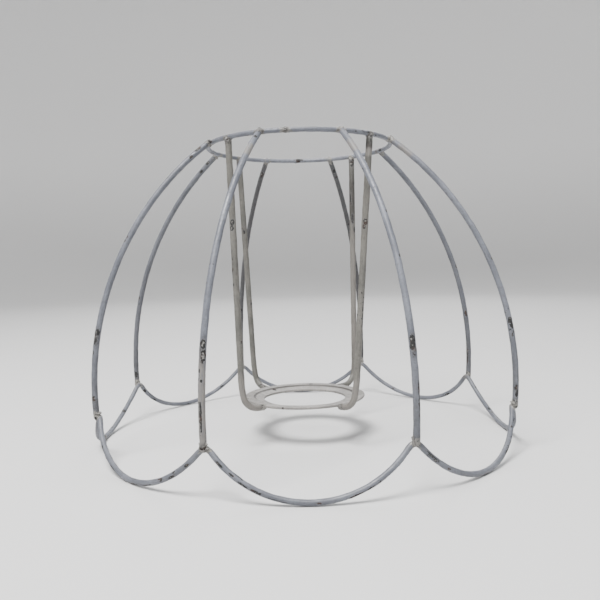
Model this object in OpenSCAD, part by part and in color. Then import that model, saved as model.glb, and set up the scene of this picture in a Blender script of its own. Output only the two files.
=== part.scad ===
// Wire lampshade frame: a domed cage of ribs on a scalloped foot wire, hung from a plain
// top ring, with a dropped fitter ring carried on four bent arms.
// Millimetres. Z is up and is the frame's axis. Z = 0 is the plane the scallops stand on.

/* [Wires] */
// Radius of the wire of the top ring
top_wire_r = 1.15; // [1:0.05:1.4]
// Radius of the wire of the ribs
rib_wire_r = 1.4; // [1.2:0.05:1.6]
// Radius of the wire of the scalloped foot
scallop_wire_r = 1.2; // [1:0.05:1.4]
// Radius of the wire of the drop arms
arm_wire_r = 1.55; // [1.4:0.05:1.8]

/* [Cage] */
// Radius of the top ring, to the middle of its wire
top_ring_r = 46; // [40:1:52]
// Radius at which the scallops' ends lie, to the middle of the wire
foot_ring_r = 103; // [101:0.2:105]
// Slope of a rib where it leaves the top ring, in degrees below level
rib_head_slope = 37; // [32:0.5:42]
// Slope of a rib at its foot, where more than 90 curls inwards
rib_foot_slope = 94.5; // [90:0.5:96]

/* [Scallops] */
// Radius of the arc of one scallop
scallop_r = 46; // [45:0.1:46.8]
// Angle that the arc of one scallop spans
scallop_sweep = 108.5; // [106:0.5:110]
// Outward tilt of a scallop, which keeps the foot wire on one upright cylinder
scallop_tilt = 22.6; // [18:0.2:26]

/* [Fitter] */
// Radius of the hole that the lamp holder passes through
fitter_hole_r = 21; // [20:0.5:22]
// Outer radius of the fitter ring
fitter_r = 31; // [30:0.5:33]
// Inner radius of the flat outer land of the fitter ring
fitter_land_r = 26.3; // [25.5:0.1:27]
// Thickness of the sheet that the fitter ring is pressed from
fitter_sheet = 1.2; // [1:0.1:1.6]
// Height of the top face of the land above the foot plane
fitter_z = 20; // [16:0.5:24]
// Depth of the pressed dish, from the land down to the seat around the hole
fitter_dish = 1.4; // [1.2:0.1:2.6]

/* [Drop arms] */
// Radius of the bend at the knee of a drop arm
arm_bend_r = 9; // [7:0.5:11]
// How far around the top ring each arm's head stands from the middle of its quarter, in degrees
arm_head_turn = [4.5, 1, -1, -1]; // [-12:0.5:12]
// The same for each arm's knee
arm_knee_turn = [3.5, -3, 0, -11.5]; // [-12:0.5:12]
// The same for each arm's foot on the fitter ring
arm_foot_turn = [5, -3.5, 3, -12]; // [-12:0.5:12]
// Distance of each arm's knee from the axis
arm_knee_r = [44, 41, 42.5, 41.5]; // [40:0.5:46]

/* [Hidden] */

cool_paint = [0.66, 0.69, 0.72];
warm_paint = [0.66, 0.65, 0.61];
ring_paint = [0.76, 0.75, 0.72];
weld_paint = [0.82, 0.81, 0.76];

rib_count = 8;
arm_count = 4;
// Where a rib's cut ends stand beside the wires they are welded to
rib_head_out = 1.1;
rib_head_up = 0.1;
rib_foot_out = 1.3;
rib_foot_up = 0.5;
// Radii of the weld beads on the ribs and on the arms
rib_bead_r = 1.8;
arm_bead_r = 1.95;
// How far the flash of a butt weld stands proud of the wire, and its length along the wire
butt_flash = 0.22;
butt_length = 0.9;
// How far a wire swells where a bend begins or ends, which also keeps it one solid there
bend_swell = 0.05;
// How far an arm's head sinks into the top ring, how far its foot lies below the middle of the
// fitter's sheet, and how far the wire runs on before its foot is cut to the fitter's edge
arm_bite = 0.3;
arm_foot_drop = 0.4;
arm_overrun = 2;
// Flat width of the seat around the hole, and the height and width of the step inside the land
seat_w = 1.5;
step_h = 0.7;
step_w = 0.6;
// Where the wire of each ring is closed: around the top ring, and along one scallop's arc
top_butt_angle = 262;
foot_butt_angle = 10;

rib_pitch = 360 / rib_count;
half_pitch = rib_pitch / 2;

// Foot wire: each scallop ends on the foot ring circle, and a small bend joins it to the next.
scallop_half = scallop_sweep / 2;
scallop_half_chord = scallop_r * sin(scallop_half);
scallop_depth = scallop_r * (1 - cos(scallop_half)) * cos(scallop_tilt);
chord_z = scallop_wire_r + scallop_depth;
chord_r = (foot_ring_r - scallop_half_chord * sin(half_pitch)) / cos(half_pitch);
// Direction of the wire at a scallop's end: along the ring, outwards and up
end_along = cos(scallop_half) * cos(half_pitch)
    + sin(scallop_half) * sin(scallop_tilt) * sin(half_pitch);
end_out = cos(scallop_half) * sin(half_pitch)
    - sin(scallop_half) * sin(scallop_tilt) * cos(half_pitch);
end_up = sin(scallop_half) * cos(scallop_tilt);
// The bend over each cusp, in a plane that leans with the wire
cusp_lean = atan2(end_out, end_up);
cusp_half = atan2(norm([end_out, end_up]), end_along);
cusp_half_width = chord_r * sin(half_pitch) - scallop_half_chord * cos(half_pitch);
cusp_bend_r = cusp_half_width / sin(cusp_half);
cusp_height = cusp_bend_r * (1 - cos(cusp_half));
cusp_r = foot_ring_r + cusp_height * sin(cusp_lean);
cusp_z = chord_z + cusp_height * cos(cusp_lean);

// Ribs: each is one arc, and how far it spreads sets its radius and so the height of the cage
rib_foot_r = cusp_r + rib_foot_out;
rib_foot_z = cusp_z + rib_foot_up;
rib_run = rib_foot_r - top_ring_r - rib_head_out;
rib_bend_r = rib_run / (sin(rib_foot_slope) - sin(rib_head_slope));
rib_rise = rib_bend_r * (cos(rib_head_slope) - cos(rib_foot_slope));
top_ring_z = rib_foot_z + rib_rise - rib_head_up;

// Fitter ring: a flat seat around the hole, lower than the land
seat_z = fitter_z - fitter_dish - fitter_sheet;
seat_r = fitter_hole_r + seat_w;

// Drop arms: heights of their two ends
arm_foot_z = fitter_z - fitter_sheet / 2 - arm_foot_drop;
arm_head_z = top_ring_z - top_wire_r + arm_bite;

arc_fn = 120;
wire_fn = 32;

function polar(r, angle, z) = [r * cos(angle), r * sin(angle), z];
function unit(v) = v / norm(v);
function rib_angle(i) = (i - 0.5) * rib_pitch;
function arm_angle(i) = (i - 0.5) * 360 / arm_count;
function arm_head(i) = polar(top_ring_r, arm_angle(i) + arm_head_turn[i - 1], arm_head_z);
function arm_knee(i) = polar(arm_knee_r[i - 1], arm_angle(i) + arm_knee_turn[i - 1], arm_foot_z);
function arm_foot(i) = polar(fitter_r, arm_angle(i) + arm_foot_turn[i - 1], arm_foot_z);

// A straight wire from the origin along +Z
module wire_straight(length, wire_r) {
    cylinder(h = length, r = wire_r, $fn = wire_fn);
}

// A wire that leaves the origin along +Z and bends towards +X
module wire_bend(bend_r, turn, wire_r) {
    translate([bend_r, 0, 0])
        mirror([1, 0, 0])
            rotate([90, 0, 0])
                rotate_extrude(angle = turn, $fn = arc_fn)
                    translate([bend_r, 0])
                        circle(r = wire_r, $fn = wire_fn);
}

// The slight swelling of a wire where a bend begins or ends
module bend_mark(wire_r) {
    sphere(r = wire_r + bend_swell, $fn = wire_fn);
}

// Moves its children to the end of such a bend
module after_bend(bend_r, turn) {
    translate([bend_r * (1 - cos(turn)), 0, bend_r * sin(turn)])
        rotate([0, turn, 0])
            children();
}

// Turns its children so that +Z runs along one vector and +X leans towards another
module facing(at, along, towards) {
    z = unit(along);
    x = unit(towards - z * (towards * z));
    y = cross(z, x);
    multmatrix([
        [x[0], y[0], z[0], at[0]],
        [x[1], y[1], z[1], at[1]],
        [x[2], y[2], z[2], at[2]],
        [0, 0, 0, 1]
    ])
        children();
}

// A wire from start to end, bent once at the corner
module bent_wire(start, corner, end, bend_r, wire_r) {
    first = corner - start;
    second = end - corner;
    turn = acos(unit(first) * unit(second));
    setback = bend_r * tan(turn / 2);
    facing(start, first, second) {
        wire_straight(norm(first) - setback, wire_r);
        translate([0, 0, norm(first) - setback]) {
            bend_mark(wire_r);
            wire_bend(bend_r, turn, wire_r);
            after_bend(bend_r, turn) {
                bend_mark(wire_r);
                wire_straight(norm(second) - setback, wire_r);
            }
        }
    }
}

module top_ring_wire() {
    translate([0, 0, top_ring_z])
        rotate_extrude($fn = arc_fn)
            translate([top_ring_r, 0])
                circle(r = top_wire_r, $fn = wire_fn);
}

// One scallop, centred on +X
module scallop_wire() {
    translate([chord_r, 0, chord_z])
        rotate([0, -scallop_tilt, 0])
            translate([0, 0, scallop_r * cos(scallop_half)])
                rotate([90, 0, 90])
                    rotate([0, 0, -90 - scallop_half])
                        rotate_extrude(angle = scallop_sweep, $fn = arc_fn)
                            translate([scallop_r, 0])
                                circle(r = scallop_wire_r, $fn = wire_fn);
}

// The bend over one cusp, centred on +X
module cusp_wire() {
    translate([cusp_r, 0, cusp_z])
        rotate([0, cusp_lean, 0])
            translate([0, 0, -cusp_bend_r]) {
                rotate([90, 0, 90])
                    rotate([0, 0, 90 - cusp_half])
                        rotate_extrude(angle = 2 * cusp_half, $fn = arc_fn)
                            translate([cusp_bend_r, 0])
                                circle(r = scallop_wire_r, $fn = wire_fn);
                for (side = [-1, 1])
                    rotate([side * cusp_half, 0, 0])
                        translate([0, 0, cusp_bend_r])
                            bend_mark(scallop_wire_r);
            }
}

// One rib, in the plane of +X and Z
module rib_wire() {
    translate([top_ring_r + rib_head_out, 0, top_ring_z + rib_head_up])
        rotate([0, 90 + rib_head_slope, 0])
            wire_bend(rib_bend_r, rib_foot_slope - rib_head_slope, rib_wire_r);
}

module arm_wire(i) {
    overrun = arm_overrun * unit(arm_foot(i) - arm_knee(i));
    bent_wire(arm_head(i), arm_knee(i), arm_foot(i) + overrun, arm_bend_r, arm_wire_r);
}

// A collar of metal squeezed out around a wire along Y, where its ends are welded together
module flash(wire_r) {
    rotate([90, 0, 0])
        cylinder(h = butt_length, r = wire_r + butt_flash, center = true, $fn = wire_fn);
}

// A round bead on a joint, with its poles along one of the joint's wires
module bead(at, along, bead_r) {
    facing(at, along, [0, 0, 1])
        sphere(r = bead_r, $fn = wire_fn);
}

module top_ring() {
    color(cool_paint)
        top_ring_wire();
}

module scalloped_ring() {
    color(cool_paint)
        for (i = [1 : rib_count]) {
            rotate([0, 0, rib_angle(i)])
                cusp_wire();
            rotate([0, 0, rib_angle(i) + half_pitch])
                scallop_wire();
        }
}

// Each rib's ends are cut to sit on the wires of the two rings
module rib(i) {
    color(cool_paint)
        rotate([0, 0, rib_angle(i)])
            difference() {
                rib_wire();
                rotate([0, 0, -rib_angle(i)])
                    top_ring_wire();
                cusp_wire();
            }
}

// Each arm's head is cut to sit under the top ring, and its foot to meet the fitter's edge
module drop_arm(i) {
    color(warm_paint)
        difference() {
            arm_wire(i);
            top_ring_wire();
            translate([0, 0, seat_z])
                cylinder(h = 2 * fitter_dish + fitter_sheet, r = fitter_r, $fn = arc_fn);
        }
}

// Pressed from sheet: land, step, sloping dish and a flat seat around the hole
module fitter_ring() {
    color(ring_paint)
        rotate_extrude($fn = arc_fn)
            polygon([
                [fitter_hole_r, seat_z],
                [seat_r, seat_z],
                [fitter_land_r - step_w, fitter_z - step_h - fitter_sheet],
                [fitter_land_r, fitter_z - fitter_sheet],
                [fitter_r, fitter_z - fitter_sheet],
                [fitter_r, fitter_z],
                [fitter_land_r, fitter_z],
                [fitter_land_r - step_w, fitter_z - step_h],
                [seat_r, seat_z + fitter_sheet],
                [fitter_hole_r, seat_z + fitter_sheet]
            ]);
}

module top_ring_butt_weld() {
    color(weld_paint)
        difference() {
            rotate([0, 0, top_butt_angle])
                translate([top_ring_r, 0, top_ring_z])
                    flash(top_wire_r);
            top_ring_wire();
        }
}

// On the scallop that faces -X
module scalloped_ring_butt_weld() {
    color(weld_paint)
        rotate([0, 0, 180])
            difference() {
                translate([chord_r, 0, chord_z])
                    rotate([0, -scallop_tilt, 0])
                        translate([0, 0, scallop_r * cos(scallop_half)])
                            rotate([foot_butt_angle, 0, 0])
                                translate([0, 0, -scallop_r])
                                    flash(scallop_wire_r);
                scallop_wire();
            }
}

module rib_head_welds() {
    color(weld_paint)
        for (i = [1 : rib_count])
            rotate([0, 0, rib_angle(i)])
                difference() {
                    translate([top_ring_r + rib_head_out, 0, top_ring_z + rib_head_up])
                        sphere(r = rib_bead_r, $fn = wire_fn);
                    rotate([0, 0, -rib_angle(i)])
                        top_ring_wire();
                    rib_wire();
                }
}

module rib_foot_welds() {
    color(weld_paint)
        for (i = [1 : rib_count])
            rotate([0, 0, rib_angle(i)])
                difference() {
                    translate([rib_foot_r, 0, rib_foot_z])
                        sphere(r = rib_bead_r, $fn = wire_fn);
                    cusp_wire();
                    rib_wire();
                }
}

module arm_head_welds() {
    color(weld_paint)
        for (i = [1 : arm_count])
            difference() {
                translate(arm_head(i))
                    sphere(r = arm_bead_r, $fn = wire_fn);
                top_ring_wire();
                arm_wire(i);
            }
}

module arm_foot_welds() {
    color(weld_paint)
        for (i = [1 : arm_count])
            difference() {
                bead(arm_foot(i), arm_foot(i) - arm_knee(i), arm_bead_r);
                translate([0, 0, fitter_z - fitter_sheet])
                    cylinder(h = fitter_sheet, r = fitter_r, $fn = arc_fn);
                arm_wire(i);
            }
}

top_ring();
scalloped_ring();
rib(1);  // rib_1
rib(2);  // rib_2
rib(3);  // rib_3
rib(4);  // rib_4
rib(5);  // rib_5
rib(6);  // rib_6
rib(7);  // rib_7
rib(8);  // rib_8
drop_arm(1);  // drop_arm_1
drop_arm(2);  // drop_arm_2
drop_arm(3);  // drop_arm_3
drop_arm(4);  // drop_arm_4
fitter_ring();
top_ring_butt_weld();
scalloped_ring_butt_weld();
rib_head_welds();
rib_foot_welds();
arm_head_welds();
arm_foot_welds();
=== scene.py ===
import math

import bmesh
import bpy
import numpy as np
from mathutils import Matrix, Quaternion, Vector


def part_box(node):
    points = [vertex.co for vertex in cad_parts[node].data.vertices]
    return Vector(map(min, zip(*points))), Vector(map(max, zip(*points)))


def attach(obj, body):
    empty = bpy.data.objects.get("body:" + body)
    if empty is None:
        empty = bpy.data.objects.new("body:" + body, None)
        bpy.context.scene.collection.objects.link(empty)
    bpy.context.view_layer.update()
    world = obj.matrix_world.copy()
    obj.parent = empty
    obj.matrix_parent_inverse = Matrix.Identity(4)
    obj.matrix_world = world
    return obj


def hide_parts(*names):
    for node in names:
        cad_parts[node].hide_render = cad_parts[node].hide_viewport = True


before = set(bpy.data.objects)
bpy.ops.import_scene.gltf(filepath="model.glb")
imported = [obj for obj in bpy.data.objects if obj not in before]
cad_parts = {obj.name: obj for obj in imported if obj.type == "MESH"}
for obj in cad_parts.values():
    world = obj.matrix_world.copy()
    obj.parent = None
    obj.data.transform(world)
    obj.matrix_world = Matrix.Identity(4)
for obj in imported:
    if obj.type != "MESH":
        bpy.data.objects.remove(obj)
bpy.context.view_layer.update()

# An old lampshade frame of painted steel wire. Every wire is swept along the middle line of its
# CAD node, each weld is melted metal grown around its joint, and the fitter is a pressed ring.
# Metres, in the frame's own axes: Z up, Z = 0 under the scallops, the camera on the -Y side.

MM = 0.001
UP = np.array([0.0, 0.0, 1.0])
DOWN = -UP
FRONT = np.array([0.0, -1.0, 0.0])
BACK = -FRONT
RIGHT = np.array([1.0, 0.0, 0.0])
LEFT = -RIGHT

RIBS = [f"rib_{i}" for i in range(1, 9)]
ARMS = [f"drop_arm_{i}" for i in range(1, 5)]
PIECE_SLOTS = {}

# Cuts that trace each wire, the angle left out at each of its ends, and stations to look back over
TOP_RING_CUTS = 720
FOOT_RING_CUTS = 1200
RIB_CUTS = 90
ARM_CUTS = 240
CUT_MARGIN = 0.03
ARM_HEAD_MARGIN = 0.01
LOOK_BACK = 3
# A wire's end lies within this distance of the last station of its trace
END_ZONE = 14 * MM
# Height below an arm's head in which its cuts are left out, height of its foot, and how far out
# the cuts hinge, as a share of the foot's distance from the axis
PARTIAL_CUTS = 9 * MM
ARM_FOOT_HEIGHT = 3 * MM
ARM_PIVOT = 0.9
# Percentile of the cuts' half thicknesses that is a ring wire's radius: the thickest are slanted
RING_THIN = 4
# Smoothing of a traced line: the shares of five stations in a row, and how often it is done
SMOOTHING = np.array([1, 4, 6, 4, 1]) / 16
SMOOTHING_PASSES = 3
# Wire surfaces: distance between the rings of a swept wire, and points around it
WIRE_STEP = 0.4 * MM
WIRE_SIDES = 22
# Uneven thickness of the paint: long swells, a finer ripple, and how far both are sunk
PAINT_SWELL = 0.030 * MM
PAINT_RIPPLE = 0.014 * MM
PAINT_THIN = 0.012 * MM
# How far a chip lies under the paint around it, and how steep its edge is
CHIP_DEPTH = 0.07 * MM
CHIP_EDGE = 3
# Length of a cut end's rounding, in radii of its wire
END_ROUNDING = 0.6
# Weld metal: mesh detail, how far it stands proud, how far it sinks at its rim, the height and
# the length of its lumps, its reach from the joint, and the fillets' softness
BALL_DETAIL = 5
WELD_PROUD = 0.06 * MM
WELD_DIVE = 0.20 * MM
WELD_LUMPS = 0.05 * MM
LUMP_LENGTH = 1.6 * MM
WELD_REACH = 4.2 * MM
WELD_SOFTNESS = 0.55 * MM
# How dark a weld's creases are, from grime and painted shade, and how far the dark of a pit
# reaches, in its radii, which is painted shade too
CREASE_GRIME_AND_SHADE = 2.3
PIT_REACH = 1.2
# An arm's foot: the reach of its weld, and how far its middle is under the arm's, in radii
FITTER_WELD_REACH = WELD_REACH * 0.85
FITTER_WELD_DROP = 0.55
# A butt: how far its hoop is sunk in the wire and how thick it is, and its spatters, in radii
BUTT_SUNK = 0.05 * MM
BUTT_THICK = 0.26 * MM
BUTT_SPATTER = 0.85
# Stations from a wire's end to its joint's middle, how near a wire shapes its weld, and the gap
# that shows a ring wire's seam
JOINT_STATION = 3
NEAR_JOINT = 8 * MM
SEAM_GAP = 4 * MM
# Steps and halvings in the search for the weld's skin along each direction
RAY_STEPS = 26
RAY_HALVINGS = 7
# Chance spatters on each weld: how far from the middle, give or take, and their radius in mm
SPATTERS = 3
SPATTER_REACH = 1.6 * MM
SPATTER_SPREAD = (0.9, 1.2)
SPATTER_SIZE = (0.25, 0.42)
# How far lengthwise streaks run, as a share of their true length
GRAIN_STRETCH = 0.09
# A small chip's depth at most, so that no bright metal shows in it
SHALLOW = 0.40
# Random chips and worn stretches: how many on a metre of wire, and the least and most of their
# half length in mm and half width in radians
CHANCE_CHIPS = (45, (0.5, 1.3), (0.25, 0.5))
CHANCE_WEAR = (22, (4.0, 10.0), (0.6, 1.4))
# Grime and wear next to the joints, and a half width in radians that reaches round a wire
JOINT_STAIN = 3.2 * MM
HEAD_WEAR = 7 * MM
FOOT_WEAR = 5 * MM
ALL_ROUND = 9.0
# How much of the painted shade is taken off the wires' outward faces
OUTER_UNSHADED = 0.85
# Fitter: CAD points that make a ring of its outline, the width of its edge, steps round it and
# along its outline, waviness of the pressing, where its step lies, half the width and strength
# of the painted shade there, and chips as angle in degrees, radius and size in mm
RING_POINTS = 20
FITTER_EDGE = 0.1 * MM
FITTER_TURNS = 300
FITTER_STEP = 0.16 * MM
FITTER_WAVE = 0.10 * MM
STEP_RADIUS = 26.0 * MM
GROOVE_HALF = 0.55 * MM
STEP_SHADE_STRENGTH = 1.3
FITTER_CHIPS = [(249, 31.0, 0.40), (195, 30.2, 0.7), (131, 24.9, 1.2), (82, 28.0, 1.1),
                (330, 22.8, 0.7), (150, 30.4, 0.8), (20, 29.9, 1.0)]
# Linear colours: bare steel, bright flecks in it, rust, the dark of stains, which is also painted
# shade in the weld creases and at the fitter's step, the clean edge of a chip, the painted shade
# of the wires at the back, and the cream undercoat
STEEL = (0.006, 0.006, 0.006)
FLECK = (0.194, 0.187, 0.176)
RUST = (0.026, 0.014, 0.010)
STAIN_AND_SHADE = (0.019, 0.016, 0.014)
PAINT_EDGE = (0.209, 0.209, 0.216)
PAINTED_SHADE = (0.026, 0.024, 0.023)
CREAM = (0.176, 0.163, 0.148)
# The paints: light tone, dark tone and grime, then how chipped, how dirty, and how much darker
# towards the foot
PAINTS = {
    "cage_paint": ((0.140, 0.149, 0.175), (0.094, 0.101, 0.122), (0.045, 0.044, 0.044),
                   0.5, 0.35, 0.6),
    "arm_paint": ((0.133, 0.127, 0.113), (0.085, 0.083, 0.074), (0.042, 0.039, 0.035),
                  0.3, 0.5, 0.0),
    "fitter_paint": ((0.231, 0.220, 0.206), (0.154, 0.148, 0.140), (0.063, 0.057, 0.052),
                     0.2, 0.4, 0.0),
    "weld_paint": ((0.210, 0.202, 0.183), (0.112, 0.109, 0.104), (0.035, 0.032, 0.028),
                   0.7, 0.6, 0.0),
}
# Sizes of the paint's features, from its broad tones to its pores
TONE_SIZE = 14 * MM
STREAK_SIZE = 0.55 * MM
SPECKLE_SIZE = 1.1 * MM
GRIME_SIZE = 6 * MM
FOOT_DARKENING_SIZE = 4 * MM
EDGE_SIZE = 0.7 * MM
CLUSTER_SIZE = 16 * MM
CHANCE_SIZE = 1.5 * MM
RUST_SIZE = 3.5 * MM
FLECK_SIZE = 1.1 * MM
GLOSS_SIZE = 2.4 * MM
PORE_SIZE = 0.45 * MM
DIMPLE_SIZE = 2.2 * MM
BUMP_STRENGTH = 0.6
BUMP_DISTANCE = 0.06 * MM
# How bright the light streaks are, and the heights that the darkening towards the foot starts and
# fades at
STREAK_BRIGHT = 1.35
FOOT_DARKENING_STARTS = (14 * MM, 24 * MM)
FOOT_DARKENING_FADES = (20 * MM, 70 * MM)
# How much noise it takes to lose paint, and how much less where it is worn
CHANCE_LEVEL = 1.01
WEAR_GAIN = 0.26
# The stage: a flat floor that bends up into a wall all round
STAGE_MIDDLE = 0.4
STAGE_FLAT = 1.3
STAGE_BEND = 0.9
STAGE_HEIGHT = 1.4
STAGE_SIDES = 96
STAGE_BEND_STEPS = 12
FLOOR_Z = -0.0002
FLOOR_GREYS = ((0.60, 0.60, 0.60), (0.62, 0.62, 0.62))
FLOOR_CLOUDS = 90 * MM
FLOOR_ROUGHNESS = 0.9
# Painted light: the wall turns a lighter grey than the floor, reaching it at this height
WALL_PAINTED_LIGHT = (0.86, 0.86, 0.86)
WALL_PAINTED_LIGHT_Z = 0.5
# Light from all round, then area lights: name, place, size, power and colour
WORLD_STRENGTH = 0.42
LIGHT_AIM = (0, 0, 0.08)
SOFT_LIGHTS = [
    ("key_light", (-0.28, -0.45, 1.05), 0.50, 34.0, (1.0, 0.99, 0.98)),
    ("fill_light", (0.75, -0.65, 0.7), 0.7, 3.0, (0.93, 0.96, 1.0)),
    ("back_light", (0.15, 0.95, 0.85), 0.8, 8.0, (1.0, 1.0, 1.0)),
]
# The camera, fitted to the photograph
CAMERA_PLACE = (-0.00558, -0.33768, 0.08993)
CAMERA_AIM = (-0.00137, 0.0, 0.06916)
CAMERA_ROLL = -1.34
CAMERA_LENS = 39.3
CAMERA_SENSOR = 36
CAMERA_CLIP = 0.01


# -------- numbers and noise

def norm(v):
    return np.linalg.norm(v, axis=-1)


def unit(v):
    return v / np.linalg.norm(v, axis=-1, keepdims=True)


def outward(point):
    """Level direction away from the frame's axis."""
    return unit(np.array([point[0], point[1], 0.0]))


class Waves:
    """Smooth seeded noise: a sum of waves that run in random directions."""

    def __init__(self, length, seed, count=14):
        rng = np.random.default_rng(seed)
        spread = rng.uniform(0.6, 1.6, (count, 1))
        self.k = unit(rng.normal(size=(count, 3))) * spread * 2 * math.pi / length
        self.phase = rng.uniform(0, 2 * math.pi, count)
        self.gain = 1.4 / math.sqrt(count)

    def __call__(self, points):
        return np.cos(points @ self.k.T + self.phase).sum(-1) * self.gain


SWELL = Waves(6 * MM, 3)
RIPPLE = Waves(1.3 * MM, 5)
PRESSING = Waves(45 * MM, 21)


# -------- reading the CAD nodes

def vertices(node):
    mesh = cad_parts[node].data
    found = np.empty(len(mesh.vertices) * 3)
    mesh.vertices.foreach_get("co", found)
    return found.reshape(-1, 3)


def edges(node):
    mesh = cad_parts[node].data
    found = np.empty(len(mesh.edges) * 2, np.int64)
    mesh.edges.foreach_get("vertices", found)
    return found.reshape(-1, 2)


def sections(node, pivot, axis, start, angles):
    """Half-planes hinged on a line cut a wire. Gives the middle of each cut, and half the cut's
    thickness along the line."""
    axis = unit(axis)
    first = unit(start - axis * (start @ axis))
    second = np.cross(axis, first)
    points = vertices(node) - pivot
    ends = edges(node)
    middles = []
    halves = []
    for angle in angles:
        out = first * math.cos(angle) + second * math.sin(angle)
        side = points @ np.cross(axis, out)
        a, b = side[ends[:, 0]], side[ends[:, 1]]
        hit = a * b < 0
        share = (a[hit] / (a[hit] - b[hit]))[:, None]
        cut = points[ends[hit, 0]] * (1 - share) + points[ends[hit, 1]] * share
        cut = cut[cut @ out > 0]
        far = cut @ out
        high = cut @ axis
        middle = out * (far.min() + far.max()) / 2 + axis * (high.min() + high.max()) / 2
        middles.append(pivot + middle)
        halves.append((high.max() - high.min()) / 2)
    return np.array(middles), np.array(halves)


def lengths(path):
    return np.concatenate([[0], np.cumsum(norm(np.diff(path, axis=0)))])


def resample(path, step, closed=False):
    """Even steps along a path, with the path's own small kinks smoothed away."""
    if closed:
        path = np.vstack([path, path[:1]])
    at = lengths(path)
    count = max(8, int(round(at[-1] / step)))
    want = np.linspace(0, at[-1], count + 1)
    even = np.column_stack([np.interp(want, at, path[:, i]) for i in range(path.shape[1])])
    if closed:
        even = even[:-1]
        for _ in range(SMOOTHING_PASSES):
            padded = np.vstack([even[-2:], even, even[:2]])
            even = sum(k * padded[i:i + len(even)] for i, k in enumerate(SMOOTHING))
        return even
    for _ in range(SMOOTHING_PASSES):
        inner = sum(k * even[i:len(even) - 4 + i] for i, k in enumerate(SMOOTHING))
        even[2:-2] = inner
    return even


def stretched(path, node):
    """Runs a path on, straight, to both ends of the wire that it was traced in."""
    points = vertices(node)
    for end in (0, -1):
        near = LOOK_BACK if end == 0 else -1 - LOOK_BACK
        way = unit(path[end] - path[near])
        local = points[norm(points - path[end]) < END_ZONE]
        reach = ((local - path[end]) @ way).max()
        tip = path[end] + way * reach
        path = np.vstack([tip, path]) if end == 0 else np.vstack([path, tip])
    return path


def ring_path(node, count):
    """The closed middle line of a wire that runs round the axis, and the wire's radius."""
    turns = np.linspace(0, 2 * math.pi, count, endpoint=False)
    path, halves = sections(node, np.zeros(3), UP, RIGHT, turns)
    return resample(path, WIRE_STEP, closed=True), np.percentile(halves, RING_THIN)


def fan_path(node, pivot, out, head_margin, count):
    """A fan of half-planes cuts a wire, from its foot to its head. Gives each cut's middle and
    half its thickness."""
    points = vertices(node) - pivot
    span = np.arctan2(points[:, 2], points @ out)
    angles = np.linspace(span.min() + CUT_MARGIN, span.max() - head_margin, count)
    return sections(node, pivot, np.cross(out, UP), out, angles)


def rib_path(node):
    """A rib's middle line from head to foot, and its radius."""
    low, high = map(np.array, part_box(node))
    pivot = np.array([0.0, 0.0, low[2]])
    path, halves = fan_path(node, pivot, outward((low + high) / 2), CUT_MARGIN, RIB_CUTS)
    return resample(stretched(path, node)[::-1], WIRE_STEP), np.median(halves)


def arm_path(node):
    """An arm's middle line, from its head down and in to the fitter, and its radius."""
    low, high = map(np.array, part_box(node))
    points = vertices(node)
    out = outward(points[points[:, 2] < low[2] + ARM_FOOT_HEIGHT].mean(0))
    pivot = out * norm(points[:, :2]).min() * ARM_PIVOT + UP * (low[2] + high[2]) / 2
    path, halves = fan_path(node, pivot, out, ARM_HEAD_MARGIN, ARM_CUTS)
    # The half-planes meet the straight upper part at a slant, so cuts near its end are not whole
    whole = path[:, 2] < high[2] - PARTIAL_CUTS
    return resample(stretched(path[whole], node)[::-1], WIRE_STEP), np.median(halves[whole])


# -------- making meshes

def smooth_mesh(name, points, faces):
    mesh = bpy.data.meshes.new(name)
    mesh.from_pydata(points, [], faces)
    mesh.validate()
    mesh.polygons.foreach_set("use_smooth", [True] * len(mesh.polygons))
    return mesh


def add(name, data):
    """A new object in the scene."""
    thing = bpy.data.objects.new(name, data)
    bpy.context.scene.collection.objects.link(thing)
    return thing


def make_piece(name, points, faces, values, slot, nodes):
    """A mesh piece with values on its points for its paint, standing for CAD nodes."""
    mesh = smooth_mesh(name, points.tolist(), faces)
    none = np.zeros(len(points))
    values = {"tone": none + 1, "wear": none, "grain": points, "cream": none, **values}
    for key, value in values.items():
        value = np.asarray(value, np.float32)
        kind, field = ("FLOAT", "value") if value.ndim == 1 else ("FLOAT_VECTOR", "vector")
        mesh.attributes.new(key, kind, "POINT").data.foreach_set(field, value.ravel())
    piece = add(name, mesh)
    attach(piece, "root")
    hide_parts(*nodes)
    PIECE_SLOTS[name] = slot


def frames_along(path, closed):
    """Two directions across a path at each of its points, carried along without twisting."""
    if closed:
        tangent = unit(np.roll(path, -1, axis=0) - np.roll(path, 1, axis=0))
    else:
        tangent = unit(np.gradient(path, axis=0))
    seed = UP if abs(tangent[0] @ UP) < 0.9 else RIGHT
    normal = [unit(seed - tangent[0] * (seed @ tangent[0]))]
    for t in tangent[1:]:
        last = normal[-1]
        normal.append(unit(last - t * (last @ t)))
    normal = np.array(normal)
    if closed:
        last = normal[-1] - tangent[0] * (normal[-1] @ tangent[0])
        side = np.cross(tangent[0], normal[0])
        turn = math.atan2(last @ side, last @ normal[0])
        back = -turn * np.arange(len(path)) / len(path)
        side = np.cross(tangent, normal)
        normal = normal * np.cos(back)[:, None] + side * np.sin(back)[:, None]
    return normal, np.cross(tangent, normal)


def marks_on(path, closed, facing, marks):
    """How deep each point lies inside the listed marks: above 0 within one, falling outside.
    A mark is (index on the path, direction it faces, half length, half width in radians)."""
    tangent = np.cross(facing[:, 0], facing[:, WIRE_SIDES // 4])
    at = lengths(path)
    total = at[-1]
    value = np.full(facing.shape[:2], -1.0)
    for index, way, long, wide in marks:
        along = np.abs(at - at[index])
        if closed:
            along = np.minimum(along, total - along)
        across = unit(way - tangent * (tangent @ way)[:, None])
        turn = np.arccos(np.clip((facing * across[:, None]).sum(2), -1, 1))
        inside = 1 - np.hypot(along[:, None] / long, turn / wide)
        value = np.maximum(value, inside)
    return value


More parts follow.
